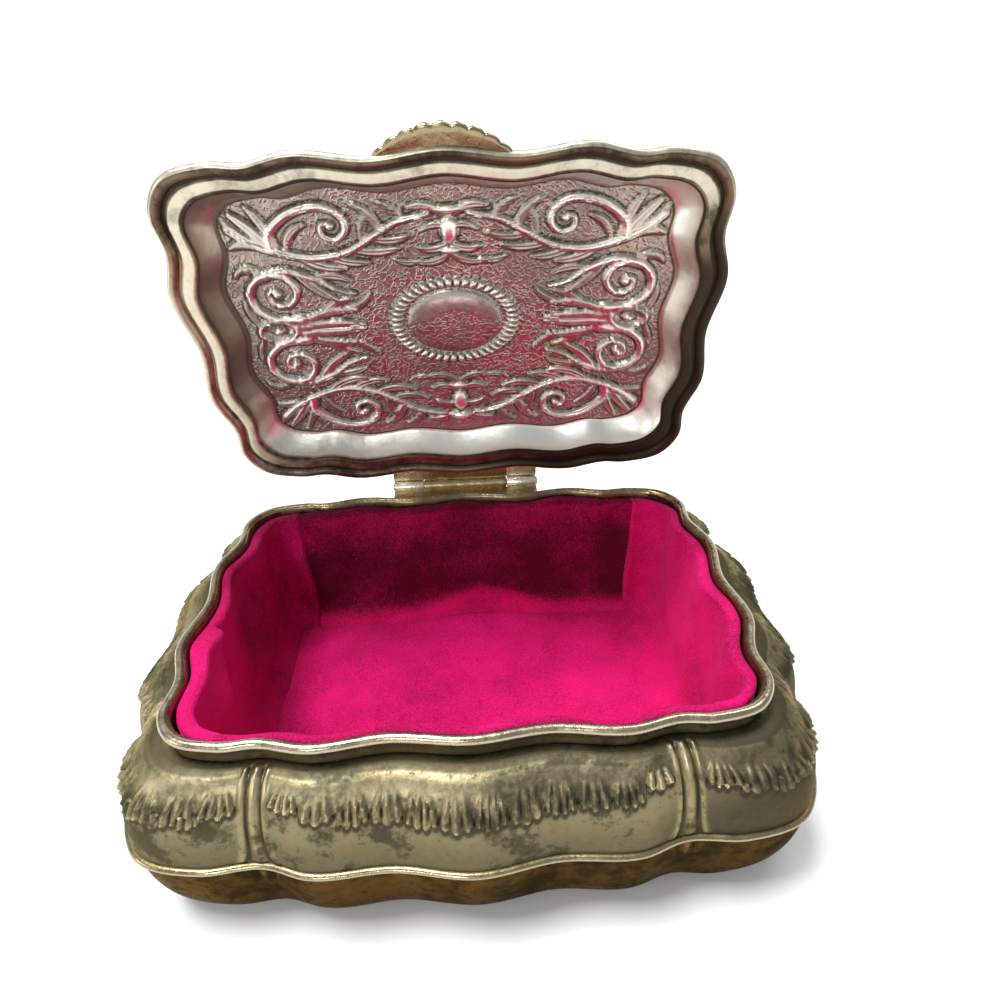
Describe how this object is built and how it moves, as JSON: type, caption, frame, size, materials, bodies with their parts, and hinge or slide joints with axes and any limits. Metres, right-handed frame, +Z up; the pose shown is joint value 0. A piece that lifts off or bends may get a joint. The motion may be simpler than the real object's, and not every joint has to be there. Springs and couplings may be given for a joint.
{
  "type": "trinket_box",
  "caption": "Serpentine bombe trinket box in tarnished silver plate, hinged embossed lid standing open, gadrooned thumb-piece and a padded crimson velvet lining",
  "frame": {"origin": "middle of the flat standing face under the foot", "axes": "+X to the right along the long side, +Y to the back where the hinge is, +Z up"},
  "size_m": [0.1416, 0.1048, 0.1288],
  "materials": {
    "silver_plate": "tarnished satin",
    "bright_edge": "worn polished",
    "lid_metal": "polished",
    "hinge_metal": "satin",
    "pin_steel": "drawn",
    "lining_card": "matte",
    "velvet": "velvet pile"
  },
  "bodies": {
    "box": {"belly_shell": "silver_plate", "foot_shell": "silver_plate", "girth_band": "bright_edge", "mouth_rim": "bright_edge", "base_plate": "silver_plate", "body_hinge_leaf": "hinge_metal", "hinge_pin": "pin_steel", "floor_card": "lining_card", "left_card": "lining_card", "right_card": "lining_card", "front_card": "lining_card", "back_card": "lining_card", "floor_pad": "velvet", "left_velvet": "velvet", "right_velvet": "velvet", "front_velvet": "velvet", "back_velvet": "velvet"},
    "lid": {"lid_rim": "lid_metal", "lid_shell": "lid_metal", "thumb_piece": "bright_edge", "lid_hinge_leaf": "hinge_metal"}
  },
  "joints": [
    {"name": "lid_hinge", "type": "hinge", "parent": "box", "child": "lid", "pos_m": [0, 0.0448, 0.0422], "axis": [-1, 0, 0], "range_deg": [-74, 30]}
  ]
}
